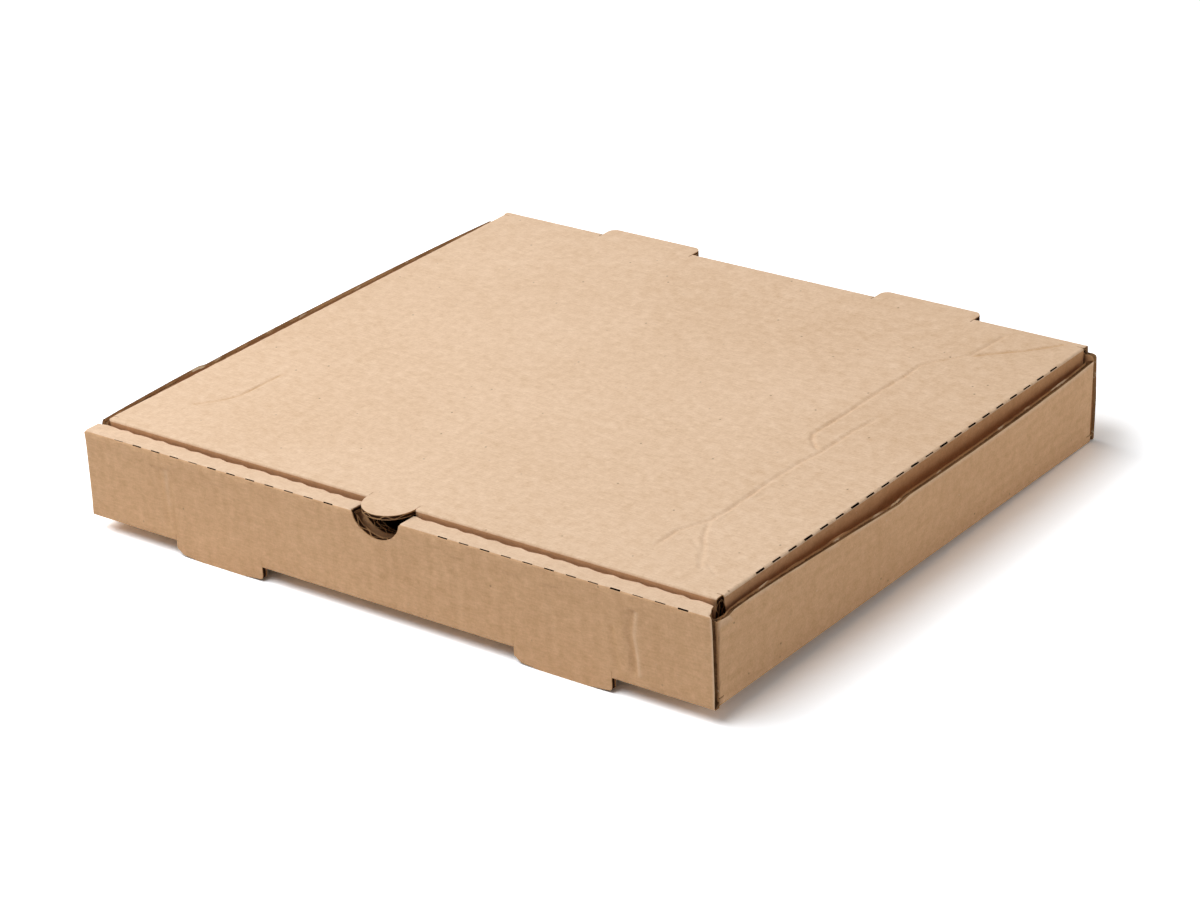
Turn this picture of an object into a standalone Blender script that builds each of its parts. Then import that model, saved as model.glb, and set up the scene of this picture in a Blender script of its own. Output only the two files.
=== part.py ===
"""A pizza box of single-wall brown corrugated board, closed, in metres with +Z up.

The box is one die-cut sheet. Each sheet here is cut flat, given its thickness, and folded
crease by crease. The tray and the lid are joined along the rear crease, which is the hinge,
so the sheet is parted there, and only there, into two nodes: tray and lid.
Flat coordinates: u runs across the box, v from front to back, w through the board from the
outer liner (w = 0) to the inner liner (w = board). Every fold turns towards the inner liner.
"""

import bmesh
import bpy
from math import acos, asin, cos, degrees, pi, radians, sin, sqrt, tan
from mathutils import Vector

MM = 0.001

# Board
board = 2.8 * MM
outer_bend = 0.9 * MM
inner_bend = 0.3 * MM
crease_half = 3.1 * MM
bend_steps = 6
slit = 0.3 * MM
liner = 0.42 * MM
groove_depth = 1.6 * MM
right_turn = radians(90.0)

# Tray
base_half = 159.6 * MM
front_overhang = 0.4 * MM
front_half = base_half + front_overhang
depth = 282.2 * MM
front_height = 39.2 * MM
strip_width = 9.1 * MM
strip_corner = 1.6 * MM
standing_gap = 0.4 * MM
inner_panel_height = front_height - board - standing_gap
left_inset = 3.7 * MM
right_inset = 7.0 * MM
rear_rise = 3.9 * MM
rear_height = front_height + rear_rise
rear_corner_cut = 2.6 * MM
shoulder_drop = 3.2 * MM

# Side walls and their corner flaps
side_height = 38.3 * MM
side_front_drop = 2.7 * MM
side_front_height = side_height - side_front_drop
rise_start = 10.5 * MM
rise_length = 49.5 * MM
wall_gap = 0.45 * MM
side_start = board + wall_gap
side_end = depth - board - wall_gap
flap_foot = 3.8 * MM
flap_clear = 0.6 * MM
flap_radius = 5.0 * MM
flap_taper = 2.0 * MM
front_flap_length = 52.0 * MM
rear_flap_length = 44.0 * MM
rear_flap_height = 31.0 * MM
rear_step = 1.2 * MM
right_bulge = 4.4 * MM
right_rear_lean = 1.4 * MM
left_bulge = 5.4 * MM
left_rear_lean = 5.2 * MM
nick_at = 122.0 * MM
nick_depth = 1.3 * MM
nick_slope = 32.0 * MM
nick_width = 3.0 * MM
nick_step = 6.0 * MM
left_crest = 0.8 * MM
left_rise_length = 1.6 * MM
left_nick_at = 76.0 * MM
left_nick_step = 5.0 * MM
bow_steps = 16

# Feet, cut out of the base and left in the plane of the front wall
foot_inner = 65.0 * MM
foot_outer = 112.2 * MM
foot_length = 6.3 * MM
foot_bow = 0.9 * MM
foot_chamfer = 3.2 * MM
foot_corner = 1.6 * MM
foot_bow_run = 12.0 * MM
foot_slit = 0.14 * MM
slot_depth = 10.7 * MM
lock_tab_inner = 66.6 * MM
lock_tab_outer = 110.4 * MM
lock_tab_length = 2.9 * MM
lock_tab_taper = 1.0 * MM

# Openings left in the rear wall by the two rear tabs of the lid
window_inner = 49.1 * MM
window_outer = 100.3 * MM
window_height = 12.8 * MM
window_sill = rear_height - window_height
rear_tab_gap = 0.3 * MM

# Thumb notch in the front, and thumb tab on the lid
notch_centre = -1.4 * MM
notch_radius = 12.9 * MM
notch_rise = 3.0 * MM
tab_centre = -1.3 * MM
tab_radius = 12.0 * MM
tab_gap = 0.2 * MM
tab_cutout_radius = 15.0 * MM

# Lid
lid_inset = 3.4 * MM
lid_half = base_half - lid_inset
lid_front_gap = 10.3 * MM
lid_depth = depth - lid_front_gap
lid_slope = radians(0.36)
lid_flap_rear = 3.7 * MM
lid_flap_relief = 3.6 * MM
lid_flap_front = lid_depth - lid_flap_relief
lid_flap_height = 30.0 * MM
lid_flap_slant = 6.0 * MM
lid_flap_corner = 7.0 * MM
front_flap_height = 30.0 * MM
front_flap_inset = 1.0 * MM
front_flap_half = lid_half - front_flap_inset
front_flap_taper = 4.0 * MM
front_flap_turn = radians(94.0)
side_flap_turn = radians(92.0)
rear_tab_inner = window_inner + rear_tab_gap
rear_tab_outer = window_outer - rear_tab_gap
rear_tab_length = 7.2 * MM
rear_tab_corner = 3.6 * MM
hinge_gap = 0.32 * MM

# Perforated creases: the front crease of the tray and the side creases of the lid
cut_length = 4.7 * MM
lid_cut_length = 5.4 * MM
cut_width = 1.2 * MM
cut_pitch = 10.4 * MM
lid_cut_pitch = 10.81 * MM
left_cuts_inset = 17.3 * MM
left_cuts_stop = 22.0 * MM
right_cuts_start = 30.2 * MM
right_cuts_inset = 9.5 * MM
lid_cuts_start = 25.6 * MM
lid_cuts_inset = 20.0 * MM

# A cut is as wide as this on the flat sheet to gape by cut_width on the outside of the bend
bend_spread = 2 * crease_half * (bend_steps - 2) / bend_steps
cut_half = cut_width / 2 * bend_spread / (outer_bend * right_turn)

# Where the middle of the front wall's foot stands from the middle of the whole footprint
front_at = -143.86 * MM
middle_at = 1.61 * MM


def arc(centre_u, centre_v, radius, start, end, steps):
    """Points of an arc, from the start angle to the end angle in degrees."""
    points = []
    for step in range(steps + 1):
        angle = radians(start + (end - start) * step / steps)
        points.append((centre_u + radius * cos(angle), centre_v + radius * sin(angle)))
    return points


def mirrored(points):
    """The same points on the other side of the middle line, in the reverse order."""
    return [(-u, v) for u, v in reversed(points)]


def rectangle(u_low, u_high, v_low, v_high):
    return [(u_low, v_low), (u_high, v_low), (u_high, v_high), (u_low, v_high)]


def cut_starts(first, last, length, pitch):
    """Where each cut of a perforated crease starts, between two places on it."""
    count = int((last - first - length) / pitch) + 1
    return [first + pitch * number for number in range(count)]


def column(step, angle):
    """Outer and inner point of one column of a bend, from the crease's sharp outer corner."""
    reach = (board + inner_bend) * tan(angle / 2)
    if step == 0:
        outer = Vector((-reach, 0.0))
    elif step == bend_steps:
        outer = Vector((reach * cos(angle), reach * sin(angle)))
    else:
        turn = angle * (step - 1) / (bend_steps - 2)
        start = -outer_bend * tan(angle / 2)
        outer = Vector((start + outer_bend * sin(turn), outer_bend * (1 - cos(turn))))
    turn = angle * step / bend_steps
    inner = Vector((inner_bend * sin(turn) - reach, board + inner_bend * (1 - cos(turn))))
    return outer, inner


def fold(section, flat, corner, angle):
    """Fold a point of a section (along, up) about the crease at corner; flat is where it lay."""
    if flat <= corner - crease_half:
        return section
    along, up = section
    if flat >= corner + crease_half:
        along -= corner
        return corner + along * cos(angle) - up * sin(angle), along * sin(angle) + up * cos(angle)
    place = (flat - corner + crease_half) / (2 * crease_half) * bend_steps
    step = min(int(place + 1e-6), bend_steps - 1)
    through = up / board
    near, far = (o.lerp(i, through) for o, i in (column(step, angle), column(step + 1, angle)))
    point = near.lerp(far, place - step)
    return corner + point.x, point.y


def side_lean(left, v):
    """How far the top of a side wall stands outward of its foot, at a place along it."""
    share = min(max((v - side_start) / (side_end - side_start), 0.0), 1.0)
    bulge = max(sin(pi * share), 0.0) ** 0.7
    if left:
        return left_bulge * bulge + left_rear_lean * share
    return right_bulge * bulge + right_rear_lean * share


def fold_side(u, v, w):
    """Fold one side wall, with its two corner flaps, up from the base."""
    side = 1 if u > 0 else -1
    across = abs(u)
    wall_v, wall_w = v, w
    if across > base_half + flap_foot - slit:
        if v < side_start + crease_half + slit:
            wall_v, wall_w = fold((-v, w), -v, -side_start, right_turn)
            wall_v = -wall_v
        elif v > side_end - crease_half - slit:
            wall_v, wall_w = fold((v, w), v, side_end, right_turn)
    lean = asin(side_lean(side < 0, v) / side_height)
    along, up = fold((across, wall_w), across, base_half, right_turn - lean)
    return Vector((side * along, wall_v, up))


hinge_offset = Vector((0.0, hinge_gap / sqrt(8), -hinge_gap / sqrt(8)))
still = Vector((0.0, 0.0, 0.0))


def fold_tray(u, v, w):
    across = abs(u)
    in_foot = foot_inner - foot_slit / 2 < across < foot_outer + foot_slit / 2
    if across > front_half + crease_half / 2:
        return fold_side(u, v, w)
    if v < crease_half + slit / 2 or (in_foot and v < (foot_length + slot_depth) / 2):
        flat = -v
        along, up = fold((flat, w), flat, front_height + strip_width, right_turn)
        along, up = fold((along, up), flat, front_height, right_turn)
        if in_foot and v > -2 * crease_half:
            flat = crease_half
        along, up = fold((along, up), flat, 0.0, right_turn)
        return Vector((u, -along, up))
    if v > depth - crease_half - slit / 2:
        along, up = fold((v, w), v, depth + rear_height, right_turn)
        along, up = fold((along, up), v, depth, right_turn)
        at_hinge = v > depth + rear_height - 1e-6
        return Vector((u, along, up)) + (hinge_offset if at_hinge else still)
    if across > base_half - crease_half - slit / 2:
        return fold_side(u, v, w)
    return Vector((u, v, w))


def fold_lid(u, v, w):
    across = abs(u)
    in_tab = rear_tab_inner - slit / 2 < across < rear_tab_outer + slit / 2
    if v < crease_half + slit / 2:
        if in_tab:
            return Vector((u, v, w))
        along, up = fold((-v, w), -v, 0.0, right_turn)
        return Vector((u, -along, up)) + (hinge_offset if v < 1e-6 else still)
    if v > lid_flap_front + slit / 2 and across < front_flap_half + slit:
        from_tab = Vector((u - tab_centre, max(v - lid_depth, 0.0)))
        if from_tab.length < tab_radius + tab_gap / 2:
            return Vector((u, v, w))
        along, up = fold((v, w), v, lid_depth, front_flap_turn)
        return Vector((u, along, up))
    side = 1 if u > 0 else -1
    along, up = fold((across, w), across, lid_half, side_flap_turn)
    return Vector((side * along, v, up))


def cut_board(outline, holes, u_lines, v_lines, flap_lines=()):
    """Cut a flat sheet to its outline, score it at the lines, and give it its thickness."""
    bm = bmesh.new()
    for loop in [outline] + holes:
        corners = [bm.verts.new((u, v, 0.0)) for u, v in loop]
        for corner, after in zip(corners, corners[1:] + corners[:1]):
            bm.edges.new((corner, after))
    bmesh.ops.triangle_fill(bm, use_beauty=True, edges=bm.edges[:], normal=(0, 0, 1))
    scores = [(value, 0.0, 0) for value in u_lines] + [(value, 0.0, 1) for value in v_lines]
    scores += [(value, flap_low, 1) for value in flap_lines]
    for value, beyond, axis in scores:
        spot = Vector((0.0, 0.0, 0.0))
        spot[axis] = value
        normal = Vector((0.0, 0.0, 0.0))
        normal[axis] = 1.0
        faces = [face for face in bm.faces if abs(face.calc_center_median().x) >= beyond]
        edges = list({edge for face in faces for edge in face.edges})
        corners = list({vert for face in faces for vert in face.verts})
        whole = corners + edges + faces
        bmesh.ops.bisect_plane(bm, geom=whole, dist=1e-6, plane_co=spot, plane_no=normal)
    slanted = []
    for edge in bm.edges:
        run = edge.verts[1].co - edge.verts[0].co
        if len(edge.link_faces) == 2 and min(abs(run.x), abs(run.y)) > 1e-7:
            slanted.append(edge)
    bmesh.ops.dissolve_limit(bm, angle_limit=0.001, verts=[], edges=slanted)
    grown = bmesh.ops.extrude_face_region(bm, geom=bm.faces[:])
    upper = [item for item in grown["geom"] if isinstance(item, bmesh.types.BMVert)]
    bmesh.ops.translate(bm, verts=upper, vec=(0, 0, board))
    bmesh.ops.recalc_face_normals(bm, faces=bm.faces[:])
    return bm


def groove_edge(bm, chosen):
    """Open the raw edge between its two liners where the cut runs along the flutes."""
    rim = [face for face in bm.faces if abs(face.normal.z) < 0.5 and chosen(face)]
    bmesh.ops.inset_region(bm, faces=rim, thickness=liner, depth=-groove_depth, use_even_offset=True)


def fold_board(bm, name, folder, colour):
    """Fold the sheet and make it an object with its own material."""
    for vert in bm.verts:
        vert.co = folder(*vert.co)
    mesh = bpy.data.meshes.new(name)
    obj = bpy.data.objects.new(name, mesh)
    bpy.context.scene.collection.objects.link(obj)
    material = bpy.data.materials.new(name + "_board")
    material.use_nodes = True
    shader = material.node_tree.nodes["Principled BSDF"]
    shader.inputs["Base Color"].default_value = colour
    shader.inputs["Roughness"].default_value = 0.85
    mesh.materials.append(material)
    return obj


def columns(corner, first=0, last=bend_steps):
    """Flat positions of the columns of a crease."""
    spread = 2 * crease_half / bend_steps
    return [corner - crease_half + spread * step for step in range(first, last + 1)]


for old in list(bpy.data.objects):
    bpy.data.objects.remove(old)

# Lines that the outline of the tray's sheet keeps to
top_line = -front_height
roll_line = -front_height - strip_width
inner_foot = roll_line - inner_panel_height
base_edge = base_half - crease_half - slit / 2
wall_foot = base_half + crease_half + slit
flap_low = base_half + flap_foot
front_corner = side_start + crease_half + slit
rear_corner = side_end - crease_half - slit
hinge_line = depth + rear_height
shoulder = hinge_line - shoulder_drop


def side_wall(left):
    """One side wall with its corner flaps, drawn on the right, from the front to the back."""
    front_end = side_start - front_flap_length
    rear_end = side_end + rear_flap_length
    low = flap_low + flap_clear
    wall_top = base_half + side_height
    front_high = base_half + side_front_height
    rear_high = base_half + rear_flap_height
    r = flap_radius
    points = [(base_edge, crease_half + slit), (wall_foot, crease_half + slit)]
    points += [(wall_foot, front_corner), (flap_low, front_corner)]
    points += [(flap_low, side_start - crease_half)]
    points += arc(low + r, front_end + r, r, 180, 270, 5)
    points += arc(front_high - flap_taper - r, front_end + r, r, 270, 360, 5)
    points += [(front_high, side_start - crease_half), (front_high, rise_start)]
    if left:
        crest = wall_top + left_crest
        points += [(crest, rise_start + left_rise_length), (crest, left_nick_at)]
        points += [(wall_top, left_nick_at + left_nick_step)]
    else:
        for share in (0.25, 0.5, 0.75, 1.0):
            high = front_high + side_front_drop * (1 - (1 - share) ** 2)
            points.append((high, rise_start + rise_length * share**2))
        points += [(wall_top - nick_depth / 4, nick_at - nick_slope)]
        points += [(wall_top - nick_depth, nick_at - nick_width)]
        points += [(wall_top - nick_depth, nick_at), (wall_top, nick_at + nick_step)]
    points += [(wall_top, side_end), (rear_high, side_end + rear_step)]
    points += [(rear_high, side_end + crease_half)]
    points += arc(rear_high - flap_taper - r, rear_end - r, r, 0, 90, 5)
    points += arc(low + r, rear_end - r, r, 90, 180, 5)
    points += [(flap_low, side_end + crease_half), (flap_low, rear_corner)]
    points += [(wall_foot, rear_corner), (wall_foot, depth - crease_half - slit)]
    points += [(base_edge, depth - crease_half - slit), (base_edge, depth - crease_half)]
    return points


def rear_end_points():
    """The rear wall from its lower right corner to the middle of its top edge."""
    c = rear_corner_cut
    points = [(front_half - c, depth - crease_half), (front_half - c / 4, depth - c / 3)]
    points += [(front_half - front_overhang, depth + c)]
    points += [(front_half + front_overhang, (depth + shoulder) / 2)]
    points += [(front_half + front_overhang, shoulder - c / 2)]
    points += [(front_half, shoulder - c / 6), (front_half - c / 2, shoulder)]
    points += [(lid_half, shoulder), (lid_half, hinge_line)]
    points += [(window_outer, hinge_line), (window_outer, depth + window_sill)]
    points += [(window_inner, depth + window_sill), (window_inner, hinge_line)]
    return points


def lock_tab():
    tip = inner_foot - lock_tab_length
    points = [(lock_tab_inner, inner_foot), (lock_tab_inner + lock_tab_taper, tip)]
    return points + [(lock_tab_outer - lock_tab_taper, tip), (lock_tab_outer, inner_foot)]


inner_right = front_half - right_inset
inner_left = front_half - left_inset
c = strip_corner
right = lock_tab() + [(inner_right, inner_foot), (inner_right, roll_line - crease_half)]
right += [(inner_right + c / 3, roll_line), (front_half - c / 2, top_line - c / 2)]
right += [(front_half, top_line + c), (front_half, crease_half), (base_edge, crease_half)]
right += side_wall(False) + rear_end_points()
left = lock_tab() + [(inner_left, inner_foot), (inner_left, roll_line - crease_half)]
left += [(front_half - c / 4, roll_line + c), (front_half - c / 4, top_line - c)]
left += [(front_half - c / 2, top_line), (front_half, top_line + c)]
left += [(front_half, crease_half), (base_edge, crease_half)]
left += side_wall(True) + rear_end_points()
tray_outline = right + mirrored(left)


def foot_hole(low, high):
    """The cut that frees a foot from the base and leaves the slot for a locking tab."""
    top = -crease_half - slit / 2
    tip = foot_length - foot_bow
    r = foot_corner
    points = [(low - foot_slit, top), (low - foot_slit, slot_depth)]
    points += [(high + foot_slit, slot_depth), (high + foot_slit, top), (high, top)]
    points += arc(high - r, tip - r, r, 0, 90, 4)
    points += [(high - foot_bow_run, foot_length), (low + foot_bow_run, foot_length)]
    points += [(low + foot_chamfer, tip), (low, tip - foot_chamfer * 0.7)]
    return points + [(low, top)]


def thumb_notch():
    """The rounded slot through the front wall, the strip and the inner panel."""
    start = degrees(asin(notch_rise / notch_radius))
    near = arc(notch_centre, top_line - notch_rise, notch_radius, start, 180 - start, 14)
    return near + arc(notch_centre, roll_line + notch_rise, notch_radius, 180 + start, 360 - start, 14)


holes = [foot_hole(foot_inner, foot_outer), foot_hole(-foot_outer, -foot_inner), thumb_notch()]
left_cuts = cut_starts(left_cuts_inset - front_half, -left_cuts_stop, cut_length, cut_pitch)
right_cuts = cut_starts(right_cuts_start, front_half - right_cuts_inset, cut_length, cut_pitch)
for start in left_cuts + right_cuts:
    holes.append(rectangle(start, start + cut_length, top_line - cut_half, top_line + cut_half))

side_lines = columns(base_half) + [-line for line in columns(base_half)]
cross_lines = columns(0.0) + columns(top_line) + columns(roll_line) + columns(depth)
cross_lines += columns(hinge_line, 0, 3)
bow_length = (rear_corner - front_corner) / bow_steps
cross_lines += [front_corner + bow_length * step for step in range(1, bow_steps)]

flap_lines = columns(side_start) + columns(side_end)
tray_sheet = cut_board(tray_outline, holes, side_lines, cross_lines, flap_lines)


def along_flutes(face):
    """The raw edges of the tray that run along the flutes: wall tops and wall ends."""
    u, v, w = face.calc_center_median()
    if abs(u) > base_half + side_front_height - board / 2:
        return front_corner < v < side_end
    at_end = abs(abs(u) - front_half) < front_overhang + slit and abs(face.normal.x) > 0.9
    return at_end and (top_line < v < 0 or depth + crease_half < v < shoulder - crease_half / 2)


groove_edge(tray_sheet, along_flutes)
tray = fold_board(tray_sheet, "tray", fold_tray, (0.62, 0.43, 0.26, 1.0))

# The outline of the lid's sheet, from the middle of the hinge: v is the distance from it.
lid_edge = lid_half - crease_half - slit / 2
lid_side = lid_half + lid_flap_height
lid_front = lid_depth + front_flap_height
rear_relief = crease_half + slit
r = rear_tab_corner
half = [(window_inner, 0.0), (window_inner, rear_relief), (rear_tab_inner, rear_relief)]
half += arc(rear_tab_inner + r, r - rear_tab_length, r, 180, 270, 6)
half += arc(rear_tab_outer - r, r - rear_tab_length, r, 270, 360, 6)
half += [(rear_tab_outer, rear_relief), (window_outer, rear_relief), (window_outer, 0.0)]
half += [(lid_half, 0.0), (lid_half, rear_relief), (lid_edge, rear_relief)]
r = lid_flap_corner
half += [(lid_edge, lid_flap_rear), (lid_half + r, lid_flap_rear)]
half += [(lid_half + r * 1.3, lid_flap_rear + lid_flap_slant * 0.6)]
half += arc(lid_side - r, lid_flap_rear + lid_flap_slant + r, r, 270, 360, 6)
half += arc(lid_side - r, lid_flap_front - lid_flap_slant - r, r, 0, 90, 6)
half += [(lid_half + crease_half, lid_flap_front), (lid_edge, lid_flap_front)]
half += [(lid_edge, lid_flap_front + slit), (front_flap_half, lid_flap_front + slit)]
half += [(front_flap_half, lid_depth)]
half += [(front_flap_half - front_flap_taper / 6, lid_depth + crease_half)]
half += arc(front_flap_half - front_flap_taper - r, lid_front - r, r, 0, 90, 6)
lid_outline = half + mirrored(half)

slit_top = lid_flap_front + slit
free = tab_radius + tab_gap
open_angle = degrees(acos(free / tab_cutout_radius))
cutout = arc(tab_centre, lid_depth, tab_cutout_radius, open_angle, 180 - open_angle, 12)
thumb_tab = [(tab_centre + free, slit_top)] + cutout + [(tab_centre - free, slit_top)]
thumb_tab += [(tab_centre - tab_radius, slit_top)]
thumb_tab += arc(tab_centre, lid_depth, tab_radius, 180, 0, 16)
thumb_tab += [(tab_centre + tab_radius, slit_top)]
lid_holes = [thumb_tab]
for crease in (-lid_half, lid_half):
    for start in cut_starts(lid_cuts_start, lid_depth - lid_cuts_inset, lid_cut_length, lid_cut_pitch):
        lid_holes.append(rectangle(crease - cut_half, crease + cut_half, start, start + lid_cut_length))

lid_lines = columns(lid_half) + [-line for line in columns(lid_half)]
lid_cross = columns(0.0, 3, 6) + columns(lid_depth)
lid_sheet = cut_board(lid_outline, lid_holes, lid_lines, lid_cross)
lid = fold_board(lid_sheet, "lid", fold_lid, (0.66, 0.47, 0.29, 1.0))

for sheet, obj in ((tray_sheet, tray), (lid_sheet, lid)):
    sheet.to_mesh(obj.data)
    sheet.free()

tray.location = (middle_at, front_at, foot_length)
lid.location = (middle_at, front_at + depth, foot_length + rear_height)
lid.rotation_euler = (pi + lid_slope, 0.0, 0.0)
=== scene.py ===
"""A closed pizza box of brown corrugated board, with its board, creases and cut edges."""

import math

import bmesh
import bpy
from mathutils import Matrix, Vector, noise
from mathutils.bvhtree import BVHTree


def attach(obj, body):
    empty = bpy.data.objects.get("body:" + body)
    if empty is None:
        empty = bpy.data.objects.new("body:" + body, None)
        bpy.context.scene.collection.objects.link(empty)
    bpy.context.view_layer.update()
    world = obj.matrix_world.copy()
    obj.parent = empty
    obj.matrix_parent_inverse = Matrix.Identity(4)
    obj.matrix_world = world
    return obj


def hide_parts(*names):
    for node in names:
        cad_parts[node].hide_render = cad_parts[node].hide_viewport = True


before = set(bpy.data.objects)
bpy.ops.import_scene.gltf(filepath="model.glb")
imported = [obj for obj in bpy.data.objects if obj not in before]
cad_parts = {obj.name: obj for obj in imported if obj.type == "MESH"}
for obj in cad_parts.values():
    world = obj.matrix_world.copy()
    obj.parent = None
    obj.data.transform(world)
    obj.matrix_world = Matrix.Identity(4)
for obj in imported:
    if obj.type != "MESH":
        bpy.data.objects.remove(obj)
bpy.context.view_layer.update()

MM = 0.001

# Where the box's own corner frame stands: X from the middle, Y from the front wall, Z from the base
MIDDLE = 1.61 * MM
FRONT = -143.86 * MM
BASE = 6.3 * MM
DEPTH = 282.2 * MM
FRONT_HEIGHT = 39.2 * MM
HINGE_HEIGHT = 43.1 * MM
BOARD = 2.8 * MM
WALL = 159.6 * MM
LID_SIDE = 156.2 * MM
LID_FRONT = 10.3 * MM
LID_FALL = math.tan(math.radians(0.36))
FLUTE_PITCH = 5.8 * MM
RIGHT_NICK = 122.0 * MM
LEFT_NICK = 76.0 * MM
NICK_REACH = 2.5 * MM
NOTCH_CENTRE = -1.4 * MM
TAB_CENTRE = -1.3 * MM
TAB_RADIUS = 12.5 * MM

# What lies within this of a face's outside is in the same layer of board
LAYER = BOARD + 0.6 * MM
# How far to the side of a crease the board is cut finer
CREASE_REACH = 3.6 * MM
# How deep the lid is sunk below the part's own top, so that the rims of its creases have room
SUNK = 0.2 * MM
# How far the inner liner stands below the outer one along the side walls' tops
LINER_STEP = 0.6 * MM
# How much lighter a painted highlight leaves the paper along the rim of a side wall
RIM_HIGHLIGHT = 2.2
PAPER_RELIEF = 0.45
PAPER_SHINE = 0.3
EDGE_SHINE = 0.06

# Slots of the four finishes of a sheet
OUTER, INNER, CUT, CHANGED = 0, 1, 2, 3


# ---- Sheets


def work_on(piece):
    """Make a piece the only one selected."""
    bpy.ops.object.select_all(action="DESELECT")
    piece.select_set(True)
    bpy.context.view_layer.objects.active = piece


def copy_board(node, name):
    """A copy of a folded sheet, with its triangles merged into whole faces."""
    piece = bpy.data.objects.new(name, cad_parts[node].data.copy())
    bpy.context.scene.collection.objects.link(piece)
    piece.data.materials.clear()
    work_on(piece)
    bpy.ops.object.mode_set(mode="EDIT")
    bpy.ops.mesh.select_all(action="SELECT")
    bpy.ops.mesh.remove_doubles(threshold=0.01 * MM)
    bpy.ops.mesh.dissolve_limited(angle_limit=math.radians(0.3))
    bpy.ops.object.mode_set(mode="OBJECT")
    return piece


def width_of(face):
    """The width of a long narrow face, and less than the width of any other."""
    return 2 * face.calc_area() / face.calc_perimeter()


def sort_faces(piece, outer_way):
    """Sort the faces into outer liner, inner liner and cut edge, and return a search tree of each liner."""
    bm = bmesh.new()
    bm.from_mesh(piece.data)
    bm.normal_update()
    for face in bm.faces:
        face.material_index = CUT
    trees = []
    for slot, way in ((OUTER, outer_way), (INNER, -outer_way)):
        flat = [face for face in bm.faces if face.normal.z * way > 0.99]
        queue = [max(flat, key=lambda face: face.calc_area())]
        if slot == INNER:
            # A cut edge is no wider than the board, so the wider faces left belong to flaps folded sharply in
            queue += [face for face in bm.faces if face.material_index == CUT and width_of(face) > 1.15 * BOARD]
        for face in queue:
            face.material_index = slot
        liner = []
        while queue:
            face = queue.pop()
            liner.append(face)
            for edge in face.edges:
                for other in edge.link_faces:
                    if other.material_index == CUT and edge.calc_face_angle(math.pi) < math.radians(38):
                        other.material_index = slot
                        queue.append(other)
        points = [vert.co.copy() for vert in bm.verts]
        bm.verts.index_update()
        trees.append(BVHTree.FromPolygons(points, [[vert.index for vert in face.verts] for face in liner]))
    bm.to_mesh(piece.data)
    bm.free()
    return trees


def narrow_cuts(piece, chosen, axis, middling):
    """Draw the two long sides of each perforation cut together, some more than others."""
    bm = bmesh.new()
    bm.from_mesh(piece.data)
    left = {face for face in bm.faces if face.material_index == CUT and chosen(face.calc_center_median())}
    while left:
        queue = [left.pop()]
        corners = set()
        while queue:
            face = queue.pop()
            corners.update(face.verts)
            for edge in face.edges:
                for other in edge.link_faces:
                    if other in left:
                        left.remove(other)
                        queue.append(other)
        for liner in (OUTER, INNER):
            around = [vert for vert in corners if any(face.material_index == liner for face in vert.link_faces)]
            middle = sum((vert.co for vert in around), Vector()) / max(len(around), 1)
            share = min(max(middling + 0.35 * noise.noise(middle * 90), 0.15), 0.8)
            for vert in around:
                pull = (middle - vert.co) * share
                pull[axis] = 0.0
                vert.co += pull
    bm.to_mesh(piece.data)
    bm.free()


def score(piece, axis, first, last, pitch):
    """Cut every face of a piece along evenly spaced planes."""
    work_on(piece)
    bpy.ops.object.mode_set(mode="EDIT")
    normal = [0.0, 0.0, 0.0]
    normal[axis] = 1.0
    for number in range(int((last - first) / pitch) + 1):
        spot = [0.0, 0.0, 0.0]
        spot[axis] = first + number * pitch
        bpy.ops.mesh.select_all(action="SELECT")
        bpy.ops.mesh.bisect(plane_co=spot, plane_no=normal)
    bpy.ops.object.mode_set(mode="OBJECT")


def refine(piece, chosen, cuts):
    """Subdivide the outer liner's faces whose middle passes a test."""
    work_on(piece)
    bpy.ops.object.mode_set(mode="EDIT")
    bpy.ops.mesh.select_mode(type="FACE")
    bpy.ops.mesh.select_all(action="DESELECT")
    bpy.ops.object.mode_set(mode="OBJECT")
    for polygon in piece.data.polygons:
        polygon.select = polygon.material_index == OUTER and chosen(polygon.center)
    bpy.ops.object.mode_set(mode="EDIT")
    bpy.ops.mesh.subdivide(number_cuts=cuts)
    bpy.ops.object.mode_set(mode="OBJECT")


def change(piece, chosen):
    """Give the outer liner its second paper tone where a face's middle passes a test: painted shade on the
    lid's flaps, painted light on the tray's strip.
    """
    for polygon in piece.data.polygons:
        if polygon.material_index == OUTER and chosen(polygon.center):
            polygon.material_index = CHANGED


def rim_of(piece, liner):
    """The vertices where a liner meets a cut edge."""
    sides = {liner: set(), CUT: set()}
    for polygon in piece.data.polygons:
        if polygon.material_index in sides:
            sides[polygon.material_index].update(polygon.vertices)
    return sides[liner] & sides[CUT]


def mark(piece, **marks):
    """Store one number for each vertex under each name, for the materials to read."""
    for name, values in marks.items():
        attribute = piece.data.attributes.new(name, "FLOAT", "POINT")
        attribute.data.foreach_set("value", values)


def smooth(low, high, value):
    """Rise gently from 0 at the first value to 1 at the second."""
    share = min(max((value - low) / (high - low), 0.0), 1.0)
    return share * share * (3 - 2 * share)


def own(point):
    """A point in the box's corner frame."""
    return point.x - MIDDLE, point.y - FRONT, point.z - BASE


def beside(line, x, y):
    """Signed distance from a line of points, positive on its right, and the share of its length."""
    best, side, share = 1e9, 1.0, 0.0
    spot = Vector((x, y))
    for number, (start, end) in enumerate(zip(line, line[1:])):
        run = end - start
        along = min(max((spot - start).dot(run) / run.length_squared, 0.0), 1.0)
        gap = spot - start - run * along
        if gap.length < best:
            best = gap.length
            side = 1.0 if run.x * gap.y - run.y * gap.x < 0 else -1.0
            share = (number + along) / (len(line) - 1)
    return best * side, share


def path(*points):
    return [Vector((x * MM, y * MM)) for x, y in points]
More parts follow.
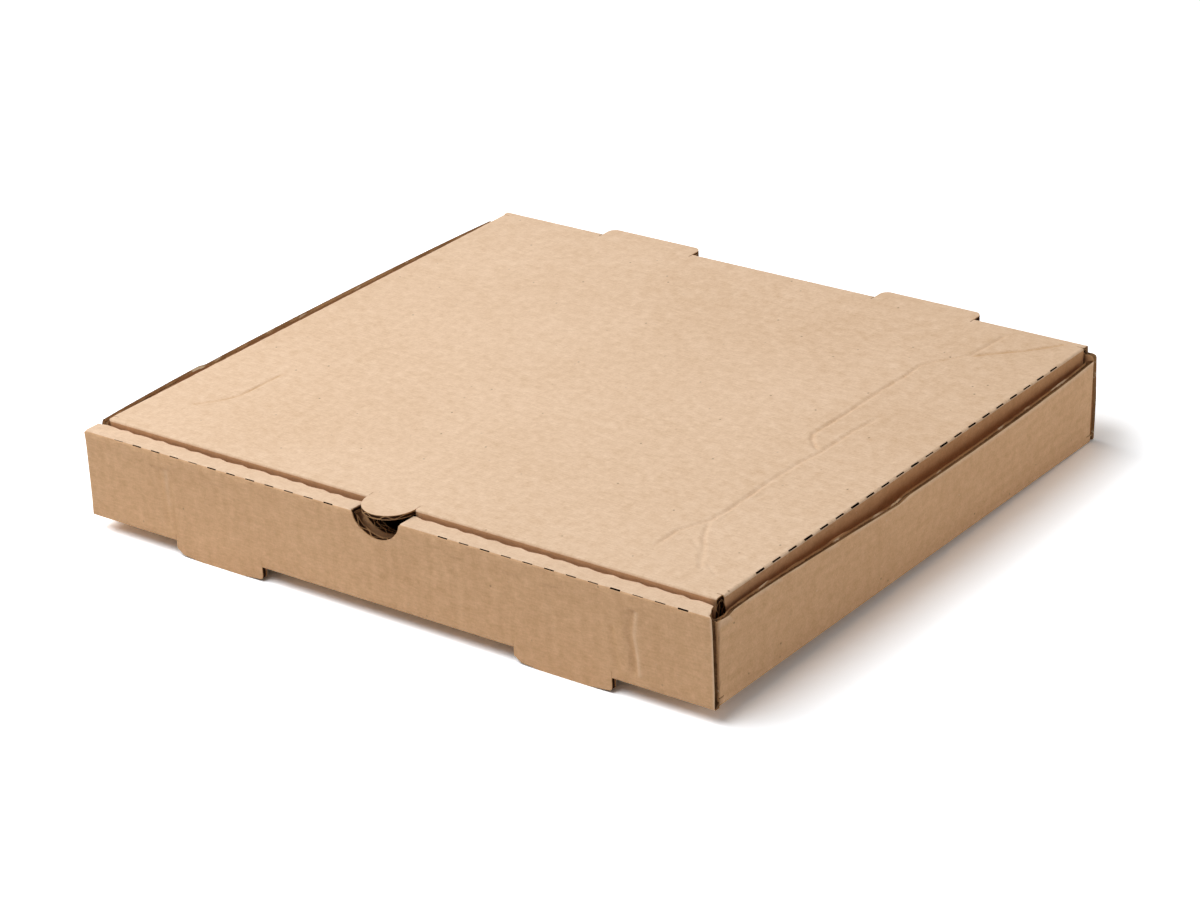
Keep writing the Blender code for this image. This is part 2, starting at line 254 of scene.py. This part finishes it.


# Creases sunk in the lid, from rear to front: places right of the middle and behind the front wall,
# then the depth, the width and the painted highlight (above zero) or painted shade (below zero) along the
# crease
LID_CREASES = [
    (path((121.1, 275.5), (120.1, 267.5), (118.7, 248.2), (110.6, 237.4), (106.1, 228.7), (106.6, 215),
          (105.8, 200.7), (106, 177.7), (105.1, 149.5), (107.6, 144.7), (112.8, 139.3), (116.9, 136.6)),
     0.7 * MM, 1.0 * MM, -0.7),
    (path((120.4, 180.5), (117.6, 159.9), (117.7, 145.2), (117.4, 135.9), (115.8, 124), (115.3, 101.2),
          (116.1, 74.9), (115.3, 62.5), (109.4, 48.8), (109.8, 30.8)), 0.7 * MM, 1.0 * MM, -0.4),
    (path((115.4, 61.9), (121.5, 49.4), (128.8, 39), (136.3, 26.4)), 0.5 * MM, 1.0 * MM, 0.0),
    (path((117.6, 47.1), (126.9, 39.5), (132.8, 30.1)), 0.26 * MM, 0.9 * MM, 0.6),
    (path((133.4, 33.7), (145.1, 24.7)), 0.26 * MM, 0.9 * MM, 0.6),
    (path((147.8, 278.8), (143.2, 272.8), (136.5, 264.8), (125, 254), (119.2, 247.3)),
     0.9 * MM, 0.8 * MM, -3.5),
    (path((-7.1, 263.1), (-6.3, 250.2), (-8.7, 237)), 0.18 * MM, 0.9 * MM, 0.6),
    (path((-122.9, 84.9), (-123.5, 66.4), (-123.8, 57.2), (-127.7, 49), (-136, 39.3)),
     0.5 * MM, 0.7 * MM, -3.5),
    (path((120.7, 93.3), (117.8, 83.8), (119.2, 61.5)), 0.22 * MM, 0.9 * MM, 0.5),
]

# Creases in the front wall, from top to bottom: places right of the middle and above the base, then the depth,
# the width and the painted highlight (above zero) or painted shade (below zero) along the crease
WALL_CREASES = [
    (path((123.4, 36), (122.5, 28.4), (121.5, 21.8), (122.7, 13.7), (123.6, 3.3)), 0.9 * MM, 1.6 * MM, -0.6),
    (path((125.4, 36), (124.4, 28.4), (123.4, 21.8), (124.6, 13.7), (125.5, 3.3)), 0.0, 1.3 * MM, 1.6),
    (path((113.1, 24), (114.8, 9), (116.8, 1.8)), 0.34 * MM, 1.3 * MM, -1.0),
    (path((-119.2, 32.8), (-115.1, -0.5)), 0.45 * MM, 1.5 * MM, -0.7),
    (path((-112.9, 27.6), (-111.9, 2.7)), 0.34 * MM, 1.3 * MM, -0.6),
    (path((-115, 32.7), (-114.6, 14.6)), 0.2 * MM, 1.2 * MM, 0.8),
    (path((-86, 34), (-87, 3)), 0.14 * MM, 1.9 * MM, -0.1),
    (path((-10, 30), (-11, 3)), 0.12 * MM, 1.8 * MM, 0.1),
    (path((38, 34), (38.6, 4)), 0.14 * MM, 1.8 * MM, 0.1),
    (path((65, 34), (64, 3)), 0.14 * MM, 1.9 * MM, -0.1),
    (path((84, 34), (84.5, 3)), 0.14 * MM, 1.8 * MM, 0.1),
]


def lid_top(y):
    """The height of the lid's top at a place behind the front wall."""
    return HINGE_HEIGHT - (DEPTH - y) * LID_FALL


def close_to(creases, x, y):
    return any(abs(beside(points, x, y)[0]) < CREASE_REACH for points, depth, width, tone in creases)


def on_lid_crease(point):
    x, y, z = own(point)
    on_panel = abs(x) < LID_SIDE - 1.5 * MM and y > LID_FRONT + 1 * MM and z > lid_top(y) - LAYER
    return on_panel and close_to(LID_CREASES, x, y)


def on_wall_crease(point):
    x, y, z = own(point)
    return y < 1 * MM and z < FRONT_HEIGHT - 3 * MM and close_to(WALL_CREASES, x, z)


def creased(creases, x, y, inset):
    """How far the creases move the sheet at a place, and the painted shade or painted highlight they leave on
    the paper there.
    """
    lift, shade = 0.0, 0.0
    for points, depth, width, tone in creases:
        gap, share = beside(points, x, y)
        if abs(gap) > 4 * width:
            continue
        fade = smooth(0.0, 0.06, share) * smooth(1.0, 0.94, share) * smooth(0.0, 3 * MM, inset)
        fade *= 0.6 + 0.8 * abs(noise.noise((x * 60, y * 60, 9.0)))
        valley = math.exp(-((gap / width) ** 2))
        rims = math.exp(-((gap / width - 1.9) ** 2)) + math.exp(-((gap / width + 1.9) ** 2))
        lift += depth * (0.25 * rims - valley) * fade
        shade += tone * valley * fade
    return lift, shade


def in_lid_cuts(point):
    x, y, z = own(point)
    return abs(x) > LID_SIDE - 3.3 * MM and 19 * MM < y < 272 * MM and z > lid_top(y) - LAYER


def in_strip_cuts(point):
    x, y, z = own(point)
    beside_notch = 15 * MM < abs(x - NOTCH_CENTRE) and abs(x) < 156 * MM
    return beside_notch and y < 3.3 * MM and z > FRONT_HEIGHT - LAYER


def on_lid_flap(point):
    x, y, z = own(point)
    return z < lid_top(y) - 1.6 * MM


def on_strip(point):
    x, y, z = own(point)
    return y < 16 * MM and z > FRONT_HEIGHT - 0.35 * MM


def dress_lid():
    """The lid's sheet: cut fine enough to carry its creases, and gently uneven as board is."""
    piece = copy_board("lid", "lid_sheet")
    trees = sort_faces(piece, 1)
    narrow_cuts(piece, in_lid_cuts, 1, 0.32)
    score(piece, 0, -0.1525, 0.158, 3 * MM)
    score(piece, 1, -0.130, 0.140, 3 * MM)
    score(piece, 2, 0.020, 0.046, 5 * MM)
    refine(piece, on_lid_crease, 4)
    # The lid's flaps take the deeper, redder flap paper as painted shade
    change(piece, on_lid_flap)
    through, across = board_marks(piece, trees, LID_SIDE, HINGE_HEIGHT)
    pressed, shaded = [], []
    for number, vert in enumerate(piece.data.vertices):
        x, y, z = own(vert.co)
        press, shade = 0.0, 0.0
        if z > lid_top(y) - LAYER:
            inset = min(LID_SIDE - abs(x), y - LID_FRONT, DEPTH - y)
            free = smooth(0.5 * MM, 22 * MM, inset)
            lift, press = creased(LID_CREASES, x, y, inset)
            # Painted light on the lid: lighter towards its front left, darker and duller towards its right rear
            # corner
            press += 0.4 - 1.1 * smooth(150 * MM, 480 * MM, x + y)
            lift += 0.2 * MM * noise.noise((x * 14, y * 14, 3.0)) * free
            vert.co.z += min(lift - SUNK * free, 0.0) if inset > 0 else 0.0
            tab = math.hypot(x - TAB_CENTRE, y - LID_FRONT)
            if y < LID_FRONT + 2 * MM and tab < TAB_RADIUS:
                # The die crushes the board a little along the rim of the thumb tab
                vert.co.z += through[number] * 0.85 * MM * smooth(7 * MM, 11.8 * MM, tab)
            # Painted shade inside the lid's perforation slits
            elif in_lid_cuts(vert.co):
                shade = 1.0
        pressed.append(press)
        shaded.append(shade)
    along = [0.0] * len(shaded)
    mark(piece, through=through, across=across, pressed=pressed, shaded=shaded, along=along)
    return piece


def board_marks(piece, trees, half, level):
    """For each vertex, its place through the board and its place across the flutes."""
    through, across = [], []
    for vert in piece.data.vertices:
        gaps = [tree.find_nearest(vert.co)[3] for tree in trees]
        through.append(gaps[0] / max(sum(gaps), 1e-9))
        x, y, z = own(vert.co)
        if abs(x) > half - LAYER and 6 * MM < y < DEPTH - 6 * MM:
            across.append(abs(x) + abs(z - level))
        else:
            across.append(abs(x))
    return through, across


def dress_tray():
    """The tray's sheet, with its wavy roll crease and the dents of its front wall."""
    piece = copy_board("tray", "tray_sheet")
    trees = sort_faces(piece, -1)
    narrow_cuts(piece, in_strip_cuts, 0, 0.62)
    score(piece, 0, -0.158, 0.162, 4 * MM)
    score(piece, 1, -0.142, 0.138, 6 * MM)
    score(piece, 2, 0.010, 0.046, 4 * MM)
    for near_end in (MIDDLE - WALL + 0.8 * MM, MIDDLE + WALL - 0.8 * MM):
        score(piece, 0, near_end, near_end, MM)
    refine(piece, on_wall_crease, 5)
    # The tray's top strip takes the lid's paler paper as painted light, where it faces up
    change(piece, on_strip)
    through, across = board_marks(piece, trees, WALL, 0.0)
    inner_rim, outer_rim = rim_of(piece, INNER), rim_of(piece, OUTER)
    pressed, shaded, along = [], [], []
    for vert in piece.data.vertices:
        x, y, z = own(vert.co)
        # Painted shade inside the strip's perforation slits
        press, shade = 0.0, 1.0 if in_strip_cuts(vert.co) else 0.0
        if y < 16 * MM and z > FRONT_HEIGHT - 7 * MM and abs(x) < 159 * MM:
            # The free roll of the strip buckles a little between its perforations
            roll = smooth(3 * MM, 9 * MM, y) * smooth(FRONT_HEIGHT - 7 * MM, FRONT_HEIGHT - 1 * MM, z)
            wave = math.sin(x / (10.4 * MM) * 2 * math.pi + 2.5 * noise.noise((x * 12, 0, 0)))
            vert.co.y += roll * (0.3 * MM * wave + 0.6 * MM * noise.noise((x * 25, 5.0, 0)) + 30 * MM * x * x)
            vert.co.z += roll * (0.16 * MM * wave - 0.2 * MM)
        elif y < 4 * MM:
            upright = smooth(1 * MM, 8 * MM, z) * smooth(FRONT_HEIGHT, FRONT_HEIGHT - 6 * MM, z)
            dent, press = creased(WALL_CREASES, x, z, 1.0)
            dent = 0.25 * MM - dent + 0.2 * MM * noise.noise((x * 20, z * 20, 1.0))
            vert.co.y += max(upright * dent, 0.0)
        wall_top = abs(x) > WALL - 4 * MM and z > 33 * MM and 6 * MM < y < 279 * MM
        wall_end = abs(x) > WALL - 3 * MM and (y < 3.2 * MM or y > DEPTH - 3.2 * MM)
        if wall_top and vert.index in inner_rim:
            vert.co.z -= LINER_STEP
        # A painted highlight along the outer rim of the side walls' tops and ends
        if (wall_top or wall_end) and vert.index in outer_rim:
            press += RIM_HIGHLIGHT
        nick = RIGHT_NICK if x > 0 else LEFT_NICK
        if not (wall_top or wall_end):
            along.append(0.0)
        else:
            along.append(2.0 if abs(y - nick) < NICK_REACH else 1.0)
        shaded.append(shade)
        pressed.append(press)
    mark(piece, through=through, across=across, pressed=pressed, shaded=shaded, along=along)
    return piece


# ---- Finishes


def socket(tree, kind, name, way, value=None):
    """Give a node group an input or an output."""
    made = tree.interface.new_socket(name=name, in_out=way, socket_type="NodeSocket" + kind)
    if value is not None:
        made.default_value = value


def add(tree, kind, links=None, **settings):
    """Add a node, set its settings, and link or set its inputs."""
    made = tree.nodes.new("ShaderNode" + kind)
    for name, value in settings.items():
        setattr(made, name, value)
    for name, value in (links or {}).items():
        if isinstance(value, bpy.types.NodeSocket):
            tree.links.new(value, made.inputs[name])
        else:
            made.inputs[name].default_value = value
    return made


def maths(tree, operation, first, second=0.0, third=0.0):
    return add(tree, "Math", {0: first, 1: second, 2: third}, operation=operation).outputs[0]


def blend(tree, share, first, second):
    """Mix two colours."""
    made = add(tree, "Mix", data_type="RGBA")
    for spot, value in ((0, share), (6, first), (7, second)):
        if isinstance(value, bpy.types.NodeSocket):
            tree.links.new(value, made.inputs[spot])
        else:
            made.inputs[spot].default_value = value
    return made.outputs[2]


def span(tree, value, low, high, out_low=0.0, out_high=1.0):
    """Carry a value from one range to another, held at both ends."""
    links = {"Value": value, "From Min": low, "From Max": high, "To Min": out_low, "To Max": out_high}
    return add(tree, "MapRange", links, clamp=True).outputs["Result"]


def stretched(tree, place, scale, turn=0.0):
    links = {"Vector": place, "Scale": scale, "Rotation": (0.0, 0.0, turn)}
    return add(tree, "Mapping", links).outputs["Vector"]


def grain(tree, place, scale, detail=2.0, rough=0.5):
    links = {"Vector": place, "Scale": scale, "Detail": detail, "Roughness": rough}
    return add(tree, "TexNoise", links).outputs["Fac"]


def kraft_group():
    """Brown kraft paper: cloudy tone, fine fibres, a few dark specks, and flutes that show through, with
    painted shade where its painted light number is below zero and a painted highlight where it is above.
    """
    tree = bpy.data.node_groups.new("Kraft paper", "ShaderNodeTree")
    socket(tree, "Vector", "Place", "INPUT")
    socket(tree, "Float", "Across", "INPUT", 0.0)
    socket(tree, "Float", "Painted light", "INPUT", 0.0)
    socket(tree, "Color", "Light", "INPUT", (0.7, 0.5, 0.3, 1.0))
    socket(tree, "Color", "Dark", "INPUT", (0.5, 0.33, 0.18, 1.0))
    socket(tree, "Float", "Flutes", "INPUT", 0.5)
    socket(tree, "Color", "Color", "OUTPUT")
    socket(tree, "Float", "Roughness", "OUTPUT")
    socket(tree, "Float", "Height", "OUTPUT")
    given = tree.nodes.new("NodeGroupInput").outputs
    place = given["Place"]
    clouds = grain(tree, place, 16.0, 3.0)
    mottle = grain(tree, place, 210.0, 5.0, 0.62)
    fibre_x = grain(tree, stretched(tree, place, (260.0, 1300.0, 1300.0), 0.12), 1.0, 3.0, 0.6)
    fibre_y = grain(tree, stretched(tree, place, (1100.0, 420.0, 700.0), 0.5), 1.0, 2.0, 0.6)
    fine = grain(tree, place, 1500.0, 2.0, 0.7)

    phase = maths(tree, "MULTIPLY", given["Across"], 2 * math.pi / FLUTE_PITCH)
    ribs = maths(tree, "SINE", phase)
    patch = grain(tree, stretched(tree, place, (90.0, 22.0, 22.0)), 1.0, 2.0)
    ribs = maths(tree, "MULTIPLY", ribs, span(tree, patch, 0.35, 0.7))
    ribs = maths(tree, "MULTIPLY", ribs, given["Flutes"])

    tone = maths(tree, "MULTIPLY_ADD", maths(tree, "SUBTRACT", mottle, 0.5), 1.1, 0.5)
    tone = maths(tree, "MULTIPLY_ADD", maths(tree, "SUBTRACT", fibre_x, 0.5), 1.1, tone)
    tone = maths(tree, "MULTIPLY_ADD", maths(tree, "SUBTRACT", fibre_y, 0.5), 0.55, tone)
    tone = maths(tree, "MULTIPLY_ADD", maths(tree, "SUBTRACT", fine, 0.5), 0.7, tone)
    tone = maths(tree, "MULTIPLY_ADD", maths(tree, "SUBTRACT", clouds, 0.5), 0.5, tone)
    tone = maths(tree, "MULTIPLY_ADD", ribs, 0.12, tone)
    tone = span(tree, tone, 0.0, 1.0)
    colour = blend(tree, tone, given["Light"], given["Dark"])
    # Painted shade: below zero the painted light number darkens the paper towards a deep brown
    painted_shade = span(tree, given["Painted light"], -4.0, 0.0, 0.55, 0.0)
    colour = blend(tree, painted_shade, colour, (0.5, 0.27, 0.08, 1.0))
    # Painted highlight: above zero it lightens the paper towards a pale tan
    painted_highlight = span(tree, given["Painted light"], 0.0, 4.0, 0.0, 0.6)
    colour = blend(tree, painted_highlight, colour, (0.95, 0.78, 0.6, 1.0))

    flecks = add(tree, "TexVoronoi", {"Vector": place, "Scale": 210.0, "Randomness": 1.0})
    pick = add(tree, "SeparateColor", {"Color": flecks.outputs["Color"]})
    near = span(tree, flecks.outputs["Distance"], 0.06, 0.13, 1.0, 0.0)
    chosen = span(tree, pick.outputs["Red"], 0.88, 0.95)
    speck = maths(tree, "MULTIPLY", maths(tree, "MULTIPLY", near, chosen), 0.62)
    colour = blend(tree, speck, colour, (0.16, 0.085, 0.04, 1.0))
    pale = span(tree, fibre_y, 0.68, 0.8, 0.0, 0.3)
    colour = blend(tree, pale, colour, (0.9, 0.74, 0.55, 1.0))

    height = maths(tree, "MULTIPLY", fibre_x, 0.35)
    height = maths(tree, "MULTIPLY_ADD", fine, 0.2, height)
    height = maths(tree, "MULTIPLY_ADD", mottle, 0.35, height)
    height = maths(tree, "MULTIPLY_ADD", ribs, 0.22, height)
    rough = span(tree, mottle, 0.3, 0.7, 0.72, 0.86)
    final = tree.nodes.new("NodeGroupOutput")
    tree.links.new(colour, final.inputs["Color"])
    tree.links.new(rough, final.inputs["Roughness"])
    tree.links.new(height, final.inputs["Height"])
    return tree


def cut_group():
    """A cut edge of the board: two liners with the wave of the medium, or a groove, between them, with painted
    shade in the hollows between.
    """
    tree = bpy.data.node_groups.new("Cut corrugated edge", "ShaderNodeTree")
    socket(tree, "Vector", "Place", "INPUT")
    socket(tree, "Float", "Across", "INPUT", 0.0)
    socket(tree, "Float", "Through", "INPUT", 0.5)
    socket(tree, "Float", "Along", "INPUT", 0.0)
    socket(tree, "Float", "Shaded", "INPUT", 0.0)
    socket(tree, "Color", "Paper", "INPUT", (0.66, 0.46, 0.27, 1.0))
    socket(tree, "Color", "Hollow shade", "INPUT", (0.1, 0.05, 0.02, 1.0))
    socket(tree, "Color", "Color", "OUTPUT")
    socket(tree, "Float", "Height", "OUTPUT")
    given = tree.nodes.new("NodeGroupInput").outputs
    fuzz = grain(tree, given["Place"], 1100.0, 3.0, 0.65)
    shaken = maths(tree, "MULTIPLY_ADD", maths(tree, "SUBTRACT", fuzz, 0.5), 0.1, given["Through"])
    phase = maths(tree, "MULTIPLY", given["Across"], 2 * math.pi / FLUTE_PITCH)
    wave = maths(tree, "MULTIPLY_ADD", maths(tree, "SINE", phase), 0.32, 0.5)
    from_wave = maths(tree, "ABSOLUTE", maths(tree, "SUBTRACT", shaken, wave))
    medium = span(tree, from_wave, 0.07, 0.14, 0.8, 0.0)
    ragged = grain(tree, stretched(tree, given["Place"], (300.0, 75.0, 300.0)), 1.0, 2.0)
    # Along the wall tops the groove between the liners is painted mostly dark, as shade
    groove = span(tree, ragged, 0.4, 0.7, 0.3, 0.6)
    between = span(tree, given["Along"], 0.0, 1.0, medium, groove)
    from_middle = maths(tree, "ABSOLUTE", maths(tree, "SUBTRACT", shaken, 0.5))
    liner_start = span(tree, given["Along"], 0.0, 1.0, 0.33, 0.355)
    liner = span(tree, from_middle, liner_start, maths(tree, "ADD", liner_start, 0.03))
    paper = maths(tree, "MAXIMUM", liner, between)
    tint = maths(tree, "MULTIPLY", paper, span(tree, fuzz, 0.2, 0.7, 0.72, 1.0))
    # Painted shade inside the perforation slits darkens their walls
    tint = maths(tree, "MULTIPLY", tint, span(tree, given["Shaded"], 0.0, 1.0, 1.0, 0.12))
    colour = blend(tree, tint, given["Hollow shade"], given["Paper"])
    torn = span(tree, maths(tree, "MULTIPLY_ADD", given["Along"], 0.3, ragged), 0.88, 0.96)
    torn = maths(tree, "MULTIPLY", torn, liner)
    final = tree.nodes.new("NodeGroupOutput")
    tree.links.new(blend(tree, torn, colour, (0.9, 0.72, 0.5, 1.0)), final.inputs["Color"])
    tree.links.new(maths(tree, "MULTIPLY_ADD", fuzz, 0.2, paper), final.inputs["Height"])
    return tree


KRAFT = kraft_group()
EDGE = cut_group()


def new_finish(name, shine):
    """A new material, its tree and its shader."""
    material = bpy.data.materials.new(name)
    material.use_nodes = True
    tree = material.node_tree
    shader = tree.nodes["Principled BSDF"]
    shader.inputs["Specular IOR Level"].default_value = shine
    return material, tree, shader


def reading(tree, name):
    """The numbers stored on the mesh under a name."""
    return add(tree, "Attribute", attribute_name=name).outputs["Fac"]


def paper_finish(name, light, dark, flutes):
    material, tree, shader = new_finish(name, PAPER_SHINE)
    group = tree.nodes.new("ShaderNodeGroup")
    group.node_tree = KRAFT
    place = add(tree, "TexCoord").outputs["Object"]
    tree.links.new(place, group.inputs["Place"])
    tree.links.new(reading(tree, "across"), group.inputs["Across"])
    tree.links.new(reading(tree, "pressed"), group.inputs["Painted light"])
    group.inputs["Light"].default_value = (*light, 1)
    group.inputs["Dark"].default_value = (*dark, 1)
    group.inputs["Flutes"].default_value = flutes
    links = {"Height": group.outputs["Height"], "Strength": PAPER_RELIEF, "Distance": 0.25 * MM}
    relief = add(tree, "Bump", links)
    tree.links.new(group.outputs["Color"], shader.inputs["Base Color"])
    tree.links.new(group.outputs["Roughness"], shader.inputs["Roughness"])
    tree.links.new(relief.outputs["Normal"], shader.inputs["Normal"])
    return material


def edge_finish(name, paper, hollow_shade):
    material, tree, shader = new_finish(name, EDGE_SHINE)
    group = tree.nodes.new("ShaderNodeGroup")
    group.node_tree = EDGE
    tree.links.new(add(tree, "TexCoord").outputs["Object"], group.inputs["Place"])
    for channel in ("across", "through", "along", "shaded"):
        tree.links.new(reading(tree, channel), group.inputs[channel.capitalize()])
    group.inputs["Paper"].default_value = (*paper, 1)
    group.inputs["Hollow shade"].default_value = (*hollow_shade, 1)
    relief = add(tree, "Bump", {"Height": group.outputs["Height"], "Strength": 0.6, "Distance": 0.4 * MM})
    tree.links.new(group.outputs["Color"], shader.inputs["Base Color"])
    tree.links.new(relief.outputs["Normal"], shader.inputs["Normal"])
    shader.inputs["Roughness"].default_value = 0.9
    return material


def finish_sheet(piece, node, finishes):
    for material in finishes:
        piece.data.materials.append(material)
    work_on(piece)
    bpy.ops.object.shade_smooth_by_angle(angle=math.radians(34))
    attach(piece, node)
    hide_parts(node)


# Each paper's light tone and dark tone, and how strongly the flutes show through it
lid_outside = paper_finish("Lid kraft outside", (0.88, 0.66, 0.48), (0.67, 0.455, 0.285), 0.35)
# The flaps' deeper, redder paper is painted shade for where they hang in the gap beside the walls
lid_flaps_painted_shade = paper_finish("Lid flap kraft, painted shade", (0.66, 0.375, 0.195), (0.48, 0.255, 0.12), 0.5)
tray_outside = paper_finish("Tray kraft outside", (0.79, 0.50, 0.285), (0.59, 0.345, 0.18), 0.9)
# The strip's paler paper is painted light on the tray's upward-facing top strip
tray_strip_painted_light = paper_finish("Strip kraft, painted light", (0.89, 0.67, 0.485), (0.69, 0.485, 0.325), 0.3)
inside = paper_finish("Kraft inside", (0.68, 0.40, 0.21), (0.50, 0.28, 0.13), 0.5)
cut_edge = edge_finish("Cut board edge", (0.56, 0.32, 0.155), (0.03, 0.011, 0.004))

lid = dress_lid()
tray = dress_tray()
finish_sheet(lid, "lid", (lid_outside, inside, cut_edge, lid_flaps_painted_shade))
finish_sheet(tray, "tray", (tray_outside, inside, cut_edge, tray_strip_painted_light))


# ---- Floor, light and camera


def floor():
    """A pale floor that the two feet and the rear edge of the base stand on."""
    bpy.ops.object.select_all(action="DESELECT")
    bpy.ops.mesh.primitive_plane_add(size=12.0)
    plane = bpy.context.object
    plane.name = "floor"
    tilt = math.atan2(BASE, DEPTH)
    corner = Vector((0.0, FRONT, 0.0))
    turn = Matrix.Translation(corner) @ Matrix.Rotation(tilt, 4, "X") @ Matrix.Translation(-corner)
    plane.data.transform(turn @ Matrix.Translation((0.0, 0.0, -0.1 * MM)))
    material = bpy.data.materials.new("White floor")
    material.use_nodes = True
    tree = material.node_tree
    tree.nodes.remove(tree.nodes["Principled BSDF"])
    bounce = add(tree, "BsdfDiffuse", {"Color": (0.8, 0.8, 0.8, 1)}).outputs[0]
    seen = add(tree, "BsdfDiffuse", {"Color": (1.6, 1.66, 1.73, 1)}).outputs[0]
    rays = add(tree, "LightPath").outputs
    direct = maths(tree, "MAXIMUM", rays["Is Camera Ray"], rays["Is Glossy Ray"])
    direct = maths(tree, "MAXIMUM", direct, rays["Is Transmission Ray"])
    mixed = add(tree, "MixShader", {0: direct, 1: bounce, 2: seen}).outputs[0]
    tree.links.new(mixed, tree.nodes["Material Output"].inputs["Surface"])
    plane.data.materials.append(material)


def sky():
    """A white surround that lights the box only dimly."""
    world = bpy.context.scene.world or bpy.data.worlds.new("Studio")
    bpy.context.scene.world = world
    world.use_nodes = True
    tree = world.node_tree
    tree.nodes.clear()
    rays = add(tree, "LightPath").outputs
    direct = maths(tree, "MAXIMUM", rays["Is Camera Ray"], rays["Is Glossy Ray"])
    direct = maths(tree, "MAXIMUM", direct, rays["Is Transmission Ray"])
    strength = span(tree, direct, 0.0, 1.0, 0.15, 1.0)
    back = add(tree, "Background", {"Color": (1.0, 1.0, 1.0, 1), "Strength": strength})
    final = tree.nodes.new("ShaderNodeOutputWorld")
    tree.links.new(back.outputs[0], final.inputs["Surface"])


def lamp(name, spot, size, power, colour=(1.0, 1.0, 1.0)):
    """A square area lamp that points at the middle of the box."""
    data = bpy.data.lights.new(name, "AREA")
    data.shape = "SQUARE"
    data.size = size
    data.energy = power
    data.color = colour
    made = bpy.data.objects.new(name, data)
    bpy.context.scene.collection.objects.link(made)
    made.location = spot
    made.rotation_euler = (Vector((0.0, 0.0, 0.03)) - Vector(spot)).to_track_quat("-Z", "Y").to_euler()


def camera():
    """The photograph's view: 38 degrees round from the front, 25 above, through a long lens."""
    turn, rise, roll = math.radians(38.02), math.radians(24.72), math.radians(-2.85)
    back = Vector((math.sin(turn) * math.cos(rise), -math.cos(turn) * math.cos(rise), math.sin(rise)))
    right = Vector((math.cos(turn), math.sin(turn), 0.0))
    up = back.cross(right)
    across = math.cos(roll) * right + math.sin(roll) * up
    above = -math.sin(roll) * right + math.cos(roll) * up
    data = bpy.data.cameras.new("camera")
    data.lens = 106.95
    data.sensor_width = 36.0
    made = bpy.data.objects.new("camera", data)
    bpy.context.scene.collection.objects.link(made)
    spot = Vector((0.84479 + MIDDLE, -0.93709 + FRONT, 0.64311 + BASE))
    made.matrix_world = Matrix.Translation(spot) @ Matrix((across, above, back)).transposed().to_4x4()
    data.clip_end = 50.0
    bpy.context.scene.camera = made


floor()
sky()
lamp("left key", (-1.0, -0.1, 1.2), 1.0, 10.8, (1.0, 0.955, 0.91))
lamp("front key", (-0.3, -0.7, 1.4), 1.0, 14.4)
lamp("right fill", (1.2, 0.6, 0.16), 0.8, 5.4, (1.0, 0.94, 0.85))
camera()
bpy.context.scene.view_settings.view_transform = "Standard"
